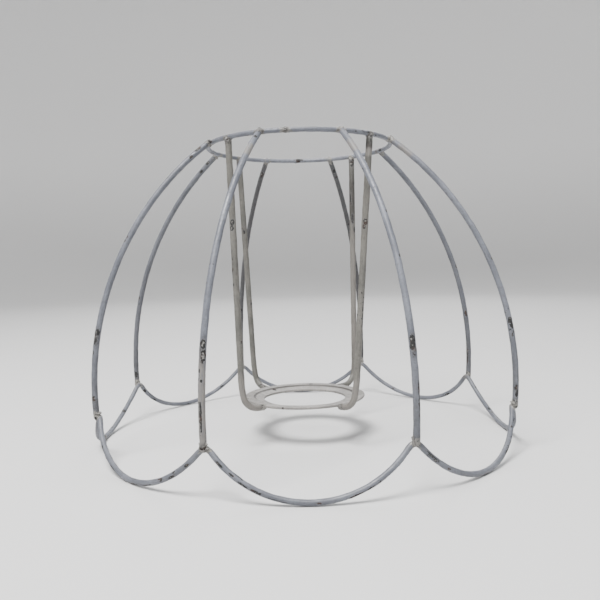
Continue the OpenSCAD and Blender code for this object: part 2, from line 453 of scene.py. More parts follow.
def grid_faces(rows, sides, closed):
    """Four-sided faces between rows of points. Each row is a closed loop."""
    faces = []
    for i in range(rows if closed else rows - 1):
        a = i * sides
        b = (i + 1) % rows * sides
        for j in range(sides):
            k = (j + 1) % sides
            faces.append((a + j, a + k, b + k, b + j))
    return faces


def sweep(path, radius, closed, chips, patches, drips, stains, wear, creams, inner_shade_tone):
    """Points, faces and values of a painted wire along a path. Its open ends are rounded."""
    normal, binormal = frames_along(path, closed)
    turn = np.linspace(0, 2 * math.pi, WIRE_SIDES, endpoint=False)
    facing = (normal[:, None] * np.cos(turn)[None, :, None]
              + binormal[:, None] * np.sin(turn)[None, :, None])
    surface = path[:, None] + facing * radius
    thick = radius - PAINT_THIN + PAINT_SWELL * SWELL(surface) + PAINT_RIPPLE * RIPPLE(surface)

    def inside(marks):
        return marks_on(path, closed, facing, marks)

    chip = np.maximum(np.minimum(inside(chips), SHALLOW), inside(patches))
    stain = inside(stains)
    worn = np.clip(inside(wear), 0, 1)
    cream = np.clip(inside(creams) * CHIP_EDGE, 0, 1)
    # Painted shade: the wire is darkened to its shade tone, and less so on its outward faces
    outer = (facing * unit(path * (1, 1, 0))[:, None]).sum(2)
    tone = inner_shade_tone + (1 - inner_shade_tone) * OUTER_UNSHADED * np.clip(outer * 1.2 + 0.4, 0, 1)
    thick = thick - CHIP_DEPTH * np.clip(chip * CHIP_EDGE, 0, 1)
    for *mark, rise in drips:
        thick = thick + rise * np.clip(inside([mark]), 0, 1) ** 0.6
    if not closed:
        at = lengths(path)
        from_end = np.minimum(at, at[-1] - at) / (radius * END_ROUNDING)
        dome = np.sqrt(np.clip(1 - (1 - np.clip(from_end, 0, 1)) ** 2, 0.03, 1))
        thick = thick * dome[:, None]
    points = path[:, None] + facing * thick[..., None]
    rows, sides = thick.shape
    faces = grid_faces(rows, sides, closed)
    points = points.reshape(-1, 3)
    flat = np.column_stack([np.cos(turn), np.sin(turn), turn * 0]) * radius
    grain = (flat + lengths(path)[:, None, None] * GRAIN_STRETCH * UP).reshape(-1, 3)
    values = {"chip": chip, "stain": stain, "wear": worn, "cream": cream, "tone": tone}
    values = {key: value.ravel() for key, value in values.items()}
    if not closed:
        points = np.vstack([points, path[:1], path[-1:]])
        grain = np.vstack([grain, grain[:1], grain[-1:]])
        tips = {"chip": -1, "stain": -1, "wear": 0, "cream": 0, "tone": inner_shade_tone}
        values = {key: np.append(value, [tips[key]] * 2) for key, value in values.items()}
        first = rows * sides
        end = (rows - 1) * sides
        for j in range(sides):
            k = (j + 1) % sides
            faces.append((first, k, j))
            faces.append((first + 1, end + j, end + k))
    return points, faces, {**values, "grain": grain}


# -------- welds

def ball_directions():
    """Evenly spread directions and the faces between them."""
    ball = bmesh.new()
    bmesh.ops.create_icosphere(ball, subdivisions=BALL_DETAIL, radius=1.0)
    ball.verts.ensure_lookup_table()
    found = np.array([v.co for v in ball.verts])
    faces = [tuple(v.index for v in f.verts) for f in ball.faces]
    ball.free()
    return unit(found), faces


def wire_field(path, radius, centre):
    """How far points are outside a wire, near a joint."""
    near = norm(path - centre) < NEAR_JOINT
    line = path[near][::2]
    if norm(path[0] - path[-1]) < 2 * WIRE_STEP:
        # The near part of a ring wire may run over the path's seam, so it is put back in order
        line = line[np.argsort(np.arctan2(line[:, 1], line[:, 0]))]
        gaps = norm(np.diff(line, axis=0))
        if gaps.max() > SEAM_GAP:
            line = np.roll(line, -(gaps.argmax() + 1), axis=0)
    start, way = line[:-1], np.diff(line, axis=0)
    size = (way ** 2).sum(1)

    def field(points):
        rel = points[:, None] - start[None]
        share = np.clip((rel * way).sum(2) / size, 0, 1)
        return norm(rel - share[..., None] * way).min(1) - radius
    return field


def ridge_field(start, end, radius):
    """A bead or a short ridge of metal."""
    way = end - start
    size = max(way @ way, 1e-12)

    def field(points):
        share = np.clip((points - start) @ way / size, 0, 1)
        return norm(points - start - share[:, None] * way) - radius
    return field


def hoop_field(centre, axis, radius, thick):
    """A ring of flash squeezed out around a wire."""
    axis = unit(axis)

    def field(points):
        rel = points - centre
        high = rel @ axis
        wide = norm(rel - high[:, None] * axis)
        return np.hypot(wide - radius, high) - thick
    return field


def sheet_field(low, high, radius):
    """The edge of the fitter's flat land."""
    middle, half = (low + high) / 2, (high - low) / 2
    rounding = half * 0.6

    def field(points):
        wide = np.hypot(points[:, 0], points[:, 1]) - radius + rounding
        tall = np.abs(points[:, 2] - middle) - half + rounding
        corner = np.hypot(np.maximum(wide, 0), np.maximum(tall, 0))
        return corner + np.minimum(np.maximum(wide, tall), 0) - rounding
    return field


def melted(fields, points, softness):
    """All the fields joined by fillets, and how deep in a fillet each point lies, up to 1."""
    whole = fields[0](points)
    crease = np.zeros(len(points))
    for field in fields[1:]:
        other = field(points)
        share = np.clip(0.5 + 0.5 * (other - whole) / softness, 0, 1)
        soft = other * (1 - share) + whole * share - softness * share * (1 - share)
        crease = np.maximum(crease, (np.minimum(whole, other) - soft) * 4 / softness)
        whole = soft
    return whole, crease


def weld_metal(centre, fields, reach, pits):
    """The skin of the melted metal around a joint. It stands proud at the joint and sinks
    under the wires' own surfaces before its reach."""
    directions, faces = BALL
    lumps = Waves(LUMP_LENGTH, int(abs(centre[0] * 7e5 + centre[1] * 3e5)) + 11)

    def skin(points):
        found, crease = melted(fields, points, WELD_SOFTNESS)
        far = norm(points - centre) / reach
        found = found - WELD_PROUD + (WELD_PROUD + WELD_DIVE) * far ** 2
        found = found + WELD_LUMPS * lumps(points) + PAINT_RIPPLE * RIPPLE(points)
        for pit, radius in pits:
            hole = radius - norm(points - pit)
            found = np.maximum(found, hole)
        return np.maximum(found, (far - 1) * reach), crease

    steps = np.linspace(0.05, 1.0, RAY_STEPS) * reach
    count = len(directions)
    probe = (centre + directions[:, None] * steps[None, :, None]).reshape(-1, 3)
    field = skin(probe)[0].reshape(count, -1)
    first = np.argmax(field > 0, axis=1)
    first = np.where(field.max(1) > 0, np.maximum(first, 1), len(steps) - 1)
    low, high = steps[first - 1], steps[first]
    for _ in range(RAY_HALVINGS):
        middle = (low + high) / 2
        outside = skin(centre + directions * middle[:, None])[0] > 0
        high = np.where(outside, middle, high)
        low = np.where(outside, low, middle)
    points = centre + directions * ((low + high) / 2)[:, None]
    # How deep in a crease each point lies: grime and painted shade darken the creases
    crease = skin(points)[1]
    # Around each pit the paint is marked gone: dark bare metal, which also stands in as painted
    # shade for the gap under the joint
    chip = np.full(count, -1.0)
    for pit, radius in pits:
        chip = np.maximum(chip, PIT_REACH - norm(points - pit) / radius)
    return points, faces, {"chip": chip, "stain": crease * CREASE_GRIME_AND_SHADE - 1}


def joined(parts):
    """Several parts' points, faces and values as one."""
    points, faces, values = [], [], {}
    count = 0
    for part_points, part_faces, part_values in parts:
        points.append(part_points)
        faces += [tuple(i + count for i in face) for face in part_faces]
        count += len(part_points)
        for key, value in part_values.items():
            values.setdefault(key, []).append(value)
    return np.vstack(points), faces, {k: np.concatenate(v) for k, v in values.items()}


# -------- where the paint is chipped

# Marks on each wire: place, way it faces, half length in mm and half width in radians. A place
# is a height in mm, or on the two ring wires an angle in degrees. First the chips
WIRE_CHIPS = {
    "rib_1": [(32, FRONT + LEFT, 6.0, 0.3), (57, FRONT, 1.8, 0.5), (84, FRONT + RIGHT, 1.0, 0.4)],
    "rib_2": [(60, FRONT, 1.5, 0.5), (112, FRONT, 1.0, 0.5), (142, FRONT, 1.5, 0.8)],
    "rib_3": [(58, FRONT, 1.3, 0.5), (30, FRONT + LEFT, 1.6, 0.3), (141, FRONT, 2.0, 0.8)],
    "rib_4": [(139, FRONT, 1.2, 0.6), (70, FRONT + LEFT, 1.4, 0.5), (26, FRONT, 1.8, 0.7)],
    "rib_5": [(50, FRONT + LEFT, 1.0, 0.5), (139.5, FRONT, 1.2, 0.6),
              (100, FRONT + LEFT, 0.8, 0.4)],
    "rib_6": [(49.5, FRONT + LEFT, 0.9, 0.4), (46, FRONT, 0.6, 0.4),
              (33, FRONT + LEFT * 0.25, 5.6, 0.40), (28.6, FRONT + LEFT * 0.2, 2.2, 0.28),
              (143, FRONT, 0.9, 0.6)],
    "rib_7": [(41, FRONT + RIGHT, 3.2, 0.4), (35, FRONT + RIGHT * 2, 5.0, 0.35),
              (30, FRONT + RIGHT * 2, 2.0, 0.35), (108, FRONT + RIGHT, 0.8, 0.4),
              (90, FRONT + RIGHT, 0.7, 0.4)],
    "rib_8": [(88, FRONT + RIGHT, 0.7, 0.4), (26, FRONT, 1.4, 0.5)],
    "drop_arm_1": [(123, FRONT + LEFT, 3.5, 0.4), (112, FRONT, 3.0, 0.5),
                   (106, FRONT + RIGHT, 2.0, 0.5)],
    "drop_arm_2": [(106, FRONT, 1.2, 0.5), (66, FRONT + RIGHT, 0.8, 0.4)],
    "drop_arm_3": [(52, FRONT + RIGHT, 0.7, 0.4), (86, FRONT + LEFT, 1.0, 0.4),
                   (79, FRONT + LEFT, 0.8, 0.4)],
    "drop_arm_4": [(74, FRONT, 0.6, 0.3), (60, FRONT + RIGHT * 2, 3.0, 0.3)],
    "top_ring": [
        (30, FRONT, 1.5, 0.9), (17, FRONT, 1.8, 0.9), (11, FRONT + UP, 1.3, 0.8),
        (90, FRONT, 1.6, 1.5), (262, FRONT, 0.4, 0.6), (206, FRONT + LEFT, 1.6, 0.6),
        (335, FRONT + DOWN, 0.8, 0.5), (240, DOWN, 1.2, 0.5), (302, FRONT, 0.6, 0.4),
        (307, FRONT + UP * 0.5, 0.7, 0.4), (313, FRONT, 0.8, 0.5),
        (318, FRONT + DOWN * 0.4, 0.7, 0.4),
    ],
    "scalloped_ring": [
        (210, FRONT + LEFT, 1.8, 0.5), (217, FRONT + DOWN * 0.3, 2.2, 0.5),
        (220, FRONT + DOWN * 0.6, 2.6, 0.5), (227, FRONT + DOWN * 0.6, 2.8, 0.5),
        (231, FRONT + DOWN * 0.6, 2.4, 0.4), (236, FRONT + UP, 1.4, 0.4),
        (239, FRONT + DOWN * 0.3, 1.8, 0.5), (243, FRONT, 1.4, 0.5),
        (251, FRONT + DOWN * 0.2, 2.0, 0.4), (253.5, FRONT + UP * 0.3, 1.3, 0.4),
        (256, FRONT + DOWN * 0.4, 2.4, 0.45), (258.5, FRONT + DOWN * 0.2, 2.2, 0.5),
        (263, FRONT + DOWN * 0.4, 5.0, 0.20), (271.5, FRONT, 1.0, 0.4),
        (279, FRONT + DOWN * 0.6, 3.2, 0.4), (282, FRONT + DOWN * 0.7, 1.8, 0.4),
        (296.5, FRONT + UP * 0.6, 4.4, 0.26), (301, FRONT, 0.9, 0.4),
        (314, DOWN * 0.6 + FRONT, 2.4, 0.4), (325, RIGHT + FRONT, 1.8, 0.5),
        (334, RIGHT + FRONT, 1.5, 0.5), (10, FRONT, 1.4, 0.5), (32, FRONT, 2.2, 0.45),
        (35, FRONT + DOWN, 1.0, 0.5), (55, FRONT, 1.2, 0.4), (121, FRONT, 1.3, 0.4),
        (150, FRONT, 1.8, 0.5), (154.8, FRONT, 1.5, 0.9), (166.6, FRONT, 1.1, 1.0),
    ],
}
# Larger places with bright metal or undercoat inside a dark edge
WIRE_PATCHES = {
    "rib_1": [(58, RIGHT + BACK, 1.8, 0.8)],
    "rib_2": [(57, BACK, 1.8, 0.8), (54, BACK + RIGHT, 1.3, 0.6)],
    "rib_3": [(58.5, BACK, 2.0, 0.8)],
    "rib_4": [(143, FRONT + LEFT, 1.5, 0.9), (56, LEFT + BACK, 1.9, 0.8)],
    "rib_5": [(59.0, FRONT, 1.7, 0.9), (55.5, FRONT + LEFT * 0.6, 2.0, 0.8),
              (143, FRONT + LEFT, 1.9, 0.9)],
    "rib_6": [(59.2, FRONT, 1.8, 1.0), (55.0, FRONT + RIGHT * 0.3, 2.3, 0.9)],
    "rib_7": [(59.3, FRONT, 1.5, 0.9), (56.6, FRONT + LEFT * 0.3, 1.7, 0.8)],
    "rib_8": [(60, FRONT, 1.5, 0.9), (57.2, FRONT + RIGHT * 0.4, 1.3, 0.7)],
    "drop_arm_1": [(143, FRONT, 1.6, 0.8)],
    "drop_arm_3": [(108, FRONT, 1.5, 0.8), (105.2, FRONT + LEFT * 0.4, 1.3, 0.7)],
    "drop_arm_4": [(106.5, FRONT, 1.5, 0.8), (104.2, FRONT + LEFT * 0.4, 1.1, 0.6)],
}
# Grimy stretches
WIRE_STAINS = {
    "drop_arm_1": [(124, FRONT, 16.0, 3.5)],
    "drop_arm_4": [(142, FRONT, 2.2, 3.5)],
    "rib_6": [(57, FRONT, 7.0, 1.4)],
    "rib_7": [(57, FRONT, 6.0, 1.3)],
    "rib_5": [(57, FRONT, 6.0, 1.3)],
}
# Runs and blobs of paint, with their thickness in mm after the rest
WIRE_DRIPS = {
    "rib_6": [(140, LEFT + FRONT, 1.6, 0.9, 0.22), (70, FRONT, 3.0, 0.8, 0.08)],
    "rib_7": [(128, RIGHT + FRONT, 2.0, 0.8, 0.12)],
    "rib_5": [(118, LEFT, 2.2, 0.8, 0.12)],
    "rib_8": [(104, RIGHT, 2.0, 0.8, 0.12)],
    "drop_arm_3": [(60, FRONT, 2.4, 0.8, 0.10)],
    "top_ring": [(91.6, FRONT + DOWN, 1.3, 1.6, 0.40), (94, FRONT, 0.8, 0.9, 0.22)],
    "scalloped_ring": [(247, DOWN, 2.0, 0.8, 0.10), (268, DOWN, 2.4, 0.8, 0.10),
                       (318, DOWN, 2.0, 0.8, 0.10)],
}
# Stretches where the paint is worn into many small chips
WIRE_WEAR = {
    "rib_6": [(33, FRONT + LEFT, 9.0, 0.9), (57, FRONT, 7.0, 1.3)],
    "rib_7": [(37, FRONT + RIGHT, 11.0, 1.0), (57, FRONT, 7.0, 1.3)],
    "rib_5": [(56, FRONT + LEFT, 7.0, 1.3), (28, FRONT, 6.0, 1.0)],
    "rib_8": [(57, FRONT, 6.0, 1.2), (30, FRONT, 9.0, 1.2)],
    "rib_1": [(33, FRONT + LEFT, 10.0, 0.9)],
    "rib_4": [(138, FRONT, 12.0, 1.4), (66, FRONT, 8.0, 1.0)],
    "rib_3": [(140, FRONT, 9.0, 1.4)],
    "rib_2": [(140, FRONT, 9.0, 1.4)],
    "drop_arm_1": [(125, FRONT, 22.0, 1.6)],
    "drop_arm_2": [(108, FRONT, 9.0, 1.2)],
    "drop_arm_3": [(107, FRONT, 6.0, 1.2), (90, FRONT + LEFT, 16.0, 0.6)],
    "drop_arm_4": [(106, FRONT, 6.0, 1.2), (70, FRONT + RIGHT, 14.0, 0.6)],
    "top_ring": [
        (262, FRONT + UP, 5.0, 1.4), (310, FRONT, 10.0, 1.4), (90, FRONT, 6.0, 1.4),
        (22, FRONT, 7.0, 1.4), (157, FRONT + UP, 7.0, 1.4), (203, FRONT, 6.0, 1.4),
        (338, FRONT, 5.0, 1.4),
    ],
    "scalloped_ring": [
        (217, FRONT + DOWN * 0.4, 24.0, 1.2), (239, FRONT + UP * 0.4, 14.0, 1.1),
        (256, FRONT + DOWN * 0.3, 17.0, 1.2), (281, FRONT + DOWN * 0.5, 16.0, 0.9),
        (297, FRONT, 9.0, 0.9), (326, FRONT + RIGHT, 18.0, 1.0), (8, FRONT, 10.0, 1.1),
        (33, FRONT, 10.0, 1.1), (150, FRONT, 10.0, 1.1), (168, FRONT, 6.0, 1.4),
        (120, FRONT, 9.0, 1.0),
    ],
}
# Stretches where a cream undercoat shows through
WIRE_CREAM = {
    "rib_6": [(38, FRONT + LEFT * 0.4, 22.0, 3.0), (137, FRONT, 4.5, 3.0)],
    "rib_7": [(138, FRONT, 5.0, 3.0)],
    "rib_8": [(141, FRONT, 5.0, 3.0)],
    "drop_arm_1": [(72, FRONT, 42.0, 3.4)],
    "drop_arm_4": [(139, FRONT, 3.0, 3.0), (24, FRONT, 12.0, 3.0)],
    "drop_arm_3": [(24, FRONT, 14.0, 3.0)],
}
MARK_TABLES = (WIRE_CHIPS, WIRE_PATCHES, WIRE_STAINS, WIRE_DRIPS, WIRE_WEAR, WIRE_CREAM)
# Painted shade on each wire, as the share of its colour that is kept: the ribs at the back are
# shaded the darkest
SHADE_TONES = {"rib_5": 0.84, "rib_8": 0.86, "rib_4": 0.60, "rib_1": 0.66, "rib_3": 0.16, "rib_2": 0.16,
         "drop_arm_1": 0.80, "drop_arm_2": 0.86}


def scaled(mark, index):
    """A listed mark with its place as an index on the path and its lengths in metres."""
    way, long, wide, *rise = mark[1:]
    return (index, unit(way), long * MM, wide, *[r * MM for r in rise])


def chance_marks(path, chance, per_metre, longs, wides):
    """Seeded random marks on the sides away from the camera, of half lengths in mm and half
    widths between two limits."""
    marks = []
    for _ in range(int(round(per_metre * lengths(path)[-1]))):
        way = unit(chance.normal(size=3))
        way[1] = abs(way[1])
        place = int(chance.integers(len(path)))
        marks.append((place, way, chance.uniform(*longs) * MM, chance.uniform(*wides)))
    return marks


def at_height(path, marks):
    return [scaled(m, int(np.abs(path[:, 2] - m[0] * MM).argmin())) for m in marks]


def at_angle(path, marks):
    turns = np.degrees(np.arctan2(path[:, 1], path[:, 0]))
    return [scaled(m, int(np.abs((turns - m[0] + 180) % 360 - 180).argmin())) for m in marks]


# -------- the wires

paths, radii = {}, {}
paths["top_ring"], radii["top_ring"] = ring_path("top_ring", TOP_RING_CUTS)
paths["scalloped_ring"], radii["scalloped_ring"] = ring_path("scalloped_ring", FOOT_RING_CUTS)
for name in RIBS:
    paths[name], radii[name] = rib_path(name)
for name in ARMS:
    paths[name], radii[name] = arm_path(name)

for name, path in paths.items():
    closed = name in ("top_ring", "scalloped_ring")
    place = at_angle if closed else at_height
    chips, patches, stains, drips, wear, creams = [
        place(path, table.get(name, [])) for table in MARK_TABLES]
    if not closed:
        last = len(path) - 1
        stains += [(0, UP, JOINT_STAIN, ALL_ROUND), (last, UP, JOINT_STAIN, ALL_ROUND)]
        wear += [(0, UP, HEAD_WEAR, ALL_ROUND), (last, UP, FOOT_WEAR, ALL_ROUND)]
    chance = np.random.default_rng(sum(map(ord, name)))
    chips += chance_marks(path, chance, *CHANCE_CHIPS)
    wear += chance_marks(path, chance, *CHANCE_WEAR)
    points, faces, values = sweep(path, radii[name], closed, chips, patches, drips, stains, wear,
                                  creams, SHADE_TONES.get(name, 1.0))
    slot = "arm_paint" if name in ARMS else "cage_paint"
    make_piece(f"{name}_wire", points, faces, values, slot, [name])

# -------- the welds

# Metal at each joint, in mm from its centre as (aside, up, out), aside being anticlockwise:
# ridges as start, end and radius, or centre and radius where they are round; pits as centre
# and radius; hoops as place along the wire, radius and thickness
RIDGES = {
    "rib_6_foot": [((-1.5, 1.4, 0.9), (-0.5, 0.7, 1.4), 0.42),
                   ((-0.5, 0.7, 1.4), (0.9, 0.9, 1.4), 0.42),
                   ((0.9, 0.9, 1.4), (1.7, 1.5, 0.8), 0.42),
                   ((-1.7, -0.3, 0.9), (-1.0, -1.1, 1.1), 0.40),
                   ((-1.0, -1.1, 1.1), (0.9, -1.2, 1.1), 0.38),
                   ((0.9, -1.2, 1.1), (2.2, -0.2, 0.8), 0.40)],
    "rib_7_foot": [((-1.7, 2.0, 0.4), (-1.2, -0.8, 1.1), 0.50), ((0.4, -1.5, 1.0), 0.55)],
    "rib_8_foot": [((0.9, -1.4, 0.6), 0.60)],
    "rib_5_foot": [((-1.3, -1.2, 0.5), (0.6, -1.6, 0.9), 0.45)],
    "rib_4_foot": [((1.6, -0.6, 0.4), 0.70), ((-1.4, 0.9, 0.3), 0.55),
                   ((0.2, -1.5, 0.5), (1.1, -1.8, 0.2), 0.50)],
    "rib_3_foot": [((0.9, -1.3, -0.4), 0.60)],
    "rib_1_foot": [((-1.5, 0.5, 0.4), (-1.1, -1.4, 0.6), 0.45)],
    "rib_2_foot": [((0.0, -1.4, 0.3), 0.70)],
    "rib_6_head": [((-1.9, 0.0, 0.2), (-0.9, 0.4, 0.4), 0.40),
                   ((-0.9, 0.4, 0.4), (0.9, 0.4, 0.4), 0.40),
                   ((0.9, 0.4, 0.4), (1.9, -0.1, 0.2), 0.40)],
    "rib_7_head": [((-1.7, 0.3, 0.2), (0.6, 0.8, 0.2), 0.40), ((2.0, 0.1, 0.3), 0.55)],
    "rib_5_head": [((-1.4, 0.6, 0.4), 0.50), ((1.2, 0.7, 0.2), 0.55)],
    "rib_8_head": [((0.2, 0.8, 0.3), 0.60), ((-1.6, 0.2, 0.3), 0.45)],
    "rib_4_head": [((-1.5, 0.2, -0.2), 0.60)],
    "rib_1_head": [((1.5, 0.1, -0.2), 0.60)],
    "rib_3_head": [((-1.3, -0.4, -0.5), (1.2, -0.6, -0.5), 0.45)],
    "rib_2_head": [((0.8, 0.8, -0.4), 0.55)],
    "drop_arm_3_head": [((-0.4, 0.5, 1.2), (0.5, -0.6, 1.5), 0.42),
                        ((1.5, 0.0, 0.6), (1.3, -1.2, 0.9), 0.40),
                        ((0.2, 0.5, -1.2), (1.5, 0.2, -0.9), 0.50)],
    "drop_arm_4_head": [((-1.5, 0.4, 0.6), (-0.4, 0.3, 1.4), 0.46), ((-1.4, -1.0, 0.9), 0.55)],
    "drop_arm_1_head": [((-1.3, 0.5, -0.4), 0.60)],
    "drop_arm_2_head": [((1.5, 0.0, -0.4), (0.8, -1.2, -0.5), 0.60)],
    "drop_arm_1_foot": [((0.8, 0.9, 0.6), 0.60)],
    "drop_arm_2_foot": [((-0.8, 1.1, -0.2), (0.6, 1.1, -0.2), 0.50)],
    "drop_arm_3_foot": [((0.0, 1.4, 0.2), 0.70)],
    "drop_arm_4_foot": [((-0.6, 1.2, 0.3), (0.7, 1.2, 0.2), 0.55)],
    "top_ring_butt": [((0.5, 0.6, 0.6), (0.5, -0.7, 0.9), 0.40),
                      ((-0.5, 0.6, 0.5), (-0.5, -0.7, 0.8), 0.36)],
}
PITS = {
    "rib_6_foot": [((-1.2, 0.2, 1.6), 0.36), ((-0.7, -0.1, 1.7), 0.50), ((0.0, -0.3, 1.75), 0.58),
                   ((0.8, -0.1, 1.7), 0.52), ((1.4, 0.3, 1.6), 0.36)],
    "rib_7_foot": [((1.4, 0.3, 1.6), 0.50), ((1.3, 1.3, 1.7), 0.45), ((0.8, -0.9, 1.7), 0.45)],
    "rib_8_foot": [((-1.0, -0.6, 1.3), 0.45)],
    "rib_5_foot": [((1.3, -0.7, 1.2), 0.50)],
    "rib_4_foot": [((2.0, -1.7, 0.5), 0.60), ((1.5, 0.6, -0.6), 0.50), ((1.2, -0.6, -1.0), 0.45),
                   ((0.9, 1.6, -0.9), 0.40)],
    "rib_1_foot": [((-1.6, -1.0, 0.1), 0.55), ((0.8, -1.7, -0.4), 0.45)],
    "rib_3_foot": [((-1.2, -1.2, -0.6), 0.40)],
    "rib_6_head": [((0.2, 1.9, 0.9), 0.40)],
    "rib_7_head": [((1.0, 1.0, 1.0), 0.50)],
    "rib_5_head": [((0.8, -0.9, 1.7), 0.75), ((1.7, 0.3, -0.4), 0.60), ((0.6, 1.2, 0.8), 0.40)],
    "rib_3_head": [((0.1, -0.2, -1.2), 0.55)],
    "rib_2_head": [((1.4, 0.2, -0.9), 0.45)],
    "drop_arm_4_head": [((-0.9, -0.5, 1.5), 0.40), ((1.8, -0.9, -0.9), 0.60)],
    "drop_arm_1_head": [((-1.1, -0.9, -0.6), 0.60)],
    "drop_arm_3_head": [((1.1, -0.4, 1.5), 0.46), ((1.5, 0.8, 0.9), 0.36),
                        ((0.2, -1.5, 1.7), 0.42)],
    "top_ring_butt": [((0.0, 0.3, 1.5), 0.32), ((0.05, -0.6, 1.5), 0.26)],
    "scalloped_ring_butt": [((0.0, 0.3, 1.4), 0.50)],
}
HOOPS = {
    "rib_8_foot": [(1.1, 1.42, 0.34), (-0.4, 1.40, 0.36)],
    "rib_5_foot": [(1.2, 1.40, 0.36)],
    "rib_2_foot": [(0.9, 1.38, 0.26)],
    "drop_arm_1_foot": [(1.3, 1.5, 0.30)],
    "drop_arm_4_foot": [(1.4, 1.5, 0.32)],
}
BALL = ball_directions()


def weld_at(key, centre, fields, axis, reach, spatter=SPATTER_REACH):
    """The weld at one joint, with the metal that is listed for it and a few chance spatters."""
    out = outward(centre)
    local = np.array([np.cross(UP, out), UP, out]) * MM
    for *ends, radius in RIDGES.get(key, []):
        start, end = centre + ends[0] @ local, centre + ends[-1] @ local
        fields.append(ridge_field(start, end, radius * MM))
    for height, radius, thick in HOOPS.get(key, []):
        fields.append(hoop_field(centre + axis * height * MM, axis, radius * MM, thick * MM))
    rng = np.random.default_rng(sum(map(ord, key)))
    for spot in unit(rng.normal(size=(SPATTERS, 3))):
        place = centre + spot * rng.uniform(*SPATTER_SPREAD) * spatter
        fields.append(ridge_field(place, place, rng.uniform(*SPATTER_SIZE) * MM))
    pits = [(centre + spot @ local, radius * MM) for spot, radius in PITS.get(key, [])]
    return weld_metal(centre, fields, reach, pits)


def wires_joint(wire, end, ring):
    """The weld where the end of a rib or arm lies on a ring wire."""
    path = paths[wire]
    line = path if end == "head" else path[::-1]
    tip, inner = line[0], line[JOINT_STATION]
    on_ring = paths[ring][norm(paths[ring] - inner).argmin()]
    centre = (inner + on_ring) / 2
    fields = [wire_field(path, radii[wire], centre), wire_field(paths[ring], radii[ring], centre)]
    return weld_at(f"{wire}_{end}", centre, fields, unit(inner - tip), WELD_REACH)


def butt_joint(ring):
    """The weld that closes a ring wire."""
    low, high = map(np.array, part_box(f"{ring}_butt_weld"))
    path = paths[ring]
    near = norm(path - (low + high) / 2).argmin()
    centre = path[near]
    way = unit(path[near + 1] - path[near - 1])
    fields = [wire_field(path, radii[ring], centre),
              hoop_field(centre, way, radii[ring] - BUTT_SUNK, BUTT_THICK)]
    spatter = radii[ring] * BUTT_SPATTER
    return weld_at(f"{ring}_butt", centre, fields, way, WELD_REACH, spatter)


def fitter_joint(arm):
    """The weld where an arm's foot lies on the fitter's edge."""
    path = paths[arm]
    tip, inner = path[-1], path[-1 - JOINT_STATION]
    centre = inner + DOWN * radii[arm] * FITTER_WELD_DROP
    fields = [wire_field(path, radii[arm], centre),
              sheet_field(land_low, land_high, fitter_radius)]
    return weld_at(f"{arm}_foot", centre, fields, unit(inner - tip), FITTER_WELD_REACH)


def fitter_profile():
    """The fitter's outline as (radius, height), read from its CAD node."""
    points = vertices("fitter_ring")
    radius = np.hypot(points[:, 0], points[:, 1])
    rings = {}
    for r, z in zip(np.round(radius / MM, 1), points[:, 2]):
        rings.setdefault(r, []).append(z)
    steps = sorted(r for r, zs in rings.items() if len(zs) > RING_POINTS)
    upper = [(r * MM, max(rings[r])) for r in steps]
    lower = [(r * MM, min(rings[r])) for r in steps[::-1]]
    return np.array(upper + lower)


profile = fitter_profile()
fitter_radius = profile[:, 0].max()
edge = profile[profile[:, 0] > fitter_radius - FITTER_EDGE, 1]
land_low, land_high = edge.min(), edge.max()

welds = {
    "rib_head": [wires_joint(rib, "head", "top_ring") for rib in RIBS],
    "rib_foot": [wires_joint(rib, "foot", "scalloped_ring") for rib in RIBS],
    "arm_head": [wires_joint(arm, "head", "top_ring") for arm in ARMS],
    "arm_foot": [fitter_joint(arm) for arm in ARMS],
}
for key, parts in welds.items():
    make_piece(f"{key}_weld_metal", *joined(parts), "weld_paint", [f"{key}_welds"])
for ring in ("top_ring", "scalloped_ring"):
    make_piece(f"{ring}_butt_metal", *butt_joint(ring), "weld_paint", [f"{ring}_butt_weld"])

# -------- the fitter

outline = resample(profile, FITTER_STEP, closed=True)
turn = np.linspace(0, 2 * math.pi, FITTER_TURNS, endpoint=False)
around = np.column_stack([np.cos(turn), np.sin(turn), np.zeros_like(turn)])
points = around[:, None] * outline[None, :, :1] + UP * outline[None, :, 1:]
points = points + UP * (FITTER_WAVE * PRESSING(points))[..., None]
faces = grid_faces(FITTER_TURNS, len(outline), True)
points = points.reshape(-1, 3)
radius = np.hypot(points[:, 0], points[:, 1])
# Painted shade along the fitter's step, darkest on the step itself
step_shade = STEP_SHADE_STRENGTH - np.abs(radius - STEP_RADIUS) / GROOVE_HALF
chip = np.full(len(points), -1.0)
for angle, at_radius, size in FITTER_CHIPS:
    angle = math.radians(angle)
    spot = np.array([math.cos(angle), math.sin(angle), 0]) * at_radius * MM
    chip = np.maximum(chip, 1 - norm((points - spot) * (1, 1, 0)) / (size * MM))
chip = np.minimum(chip, SHALLOW)
make_piece("fitter_ring_pressing", points, faces, {"chip": chip, "stain": step_shade}, "fitter_paint",
           ["fitter_ring"])


# -------- materials

